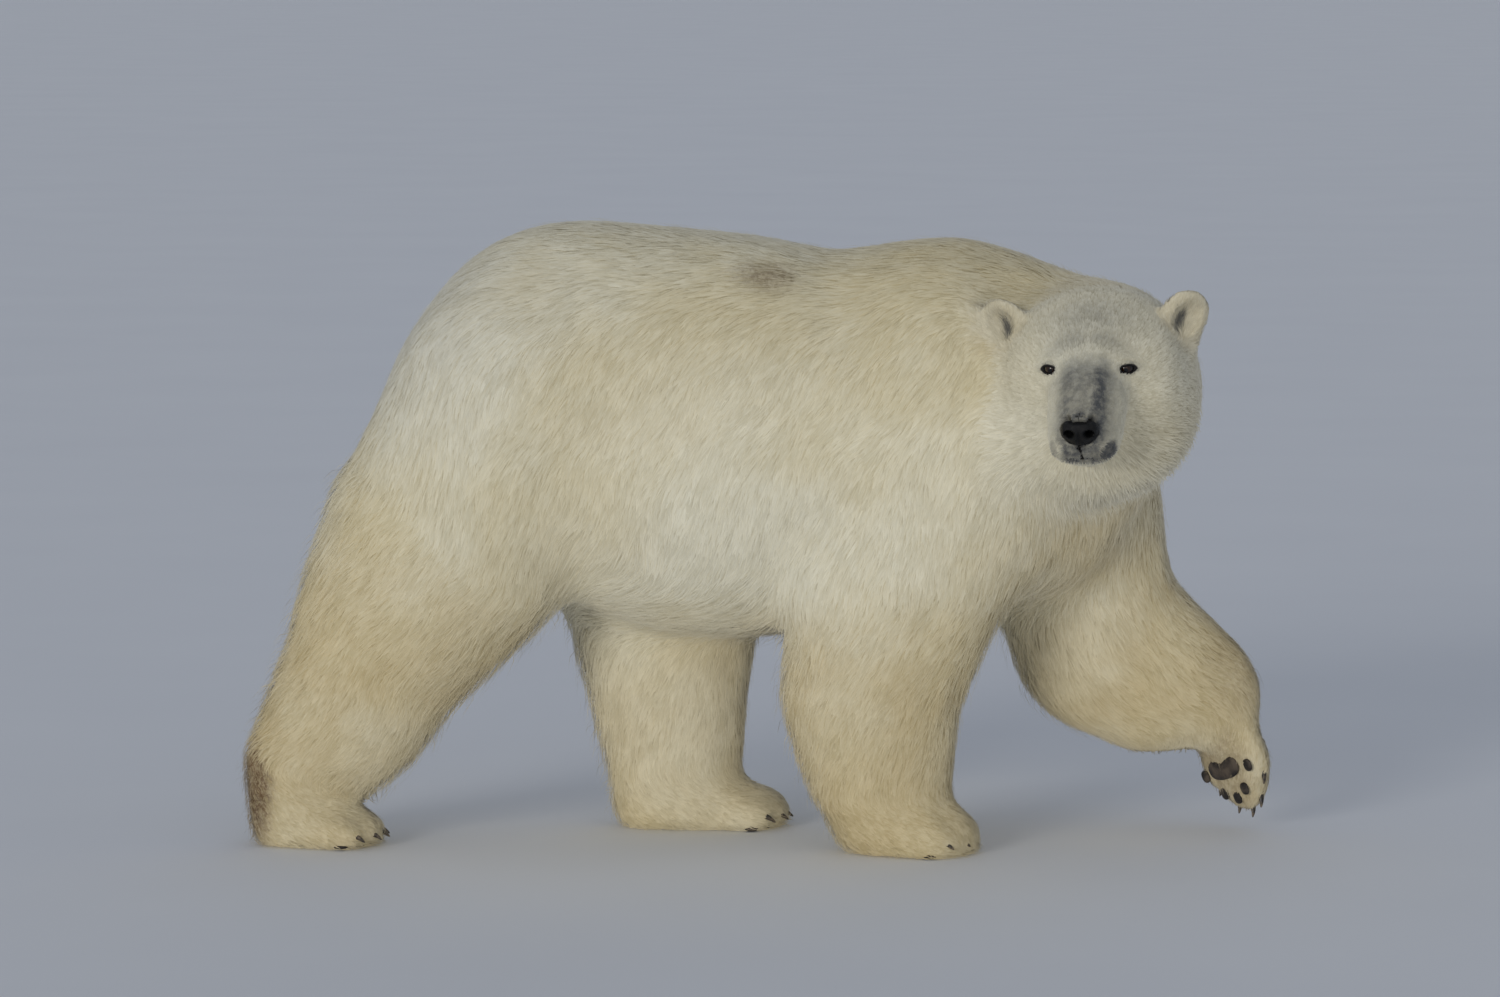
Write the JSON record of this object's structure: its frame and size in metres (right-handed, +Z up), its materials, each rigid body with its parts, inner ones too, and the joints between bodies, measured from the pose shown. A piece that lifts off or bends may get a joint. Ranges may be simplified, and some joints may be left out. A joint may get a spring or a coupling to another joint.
{
  "type": "polar bear",
  "caption": "Life-size walking polar bear with one fore foot lifted and its head turned to the side, a still museum model with a deep cream coat.",
  "frame": {"origin": "on the floor, under the middle of the bear's box", "axes": "+X the way the body faces, +Y the bear's left, +Z up"},
  "size_m": [1.9426, 0.8776, 1.1803],
  "materials": {
    "coat": "dense cream fur",
    "face_coat": "short pale fur",
    "nose_leather": "damp black leather",
    "eye": "wet dark brown",
    "claw": "dark horn"
  },
  "bodies": {
    "root": {"head": "face_coat", "neck": "coat", "trunk": "coat", "tail": "coat", "ear_left": "coat", "ear_right": "coat", "nose": "nose_leather", "eye_left": "eye", "eye_right": "eye", "fore_left_upper_arm": "coat", "fore_left_forearm": "coat", "fore_left_paw": "coat", "fore_right_upper_arm": "coat", "fore_right_forearm": "coat", "fore_right_paw": "coat", "hind_left_thigh": "coat", "hind_left_shank": "coat", "hind_left_paw": "coat", "hind_right_thigh": "coat", "hind_right_shank": "coat", "hind_right_paw": "coat", "claw_fore_left_1": "claw", "claw_fore_left_2": "claw", "claw_fore_left_3": "claw", "claw_fore_left_4": "claw", "claw_fore_left_5": "claw", "claw_fore_right_1": "claw", "claw_fore_right_2": "claw", "claw_fore_right_3": "claw", "claw_fore_right_4": "claw", "claw_fore_right_5": "claw", "claw_hind_left_1": "claw", "claw_hind_left_2": "claw", "claw_hind_left_3": "claw", "claw_hind_left_4": "claw", "claw_hind_left_5": "claw", "claw_hind_right_1": "claw", "claw_hind_right_2": "claw", "claw_hind_right_3": "claw", "claw_hind_right_4": "claw", "claw_hind_right_5": "claw"}
  },
  "joints": []
}
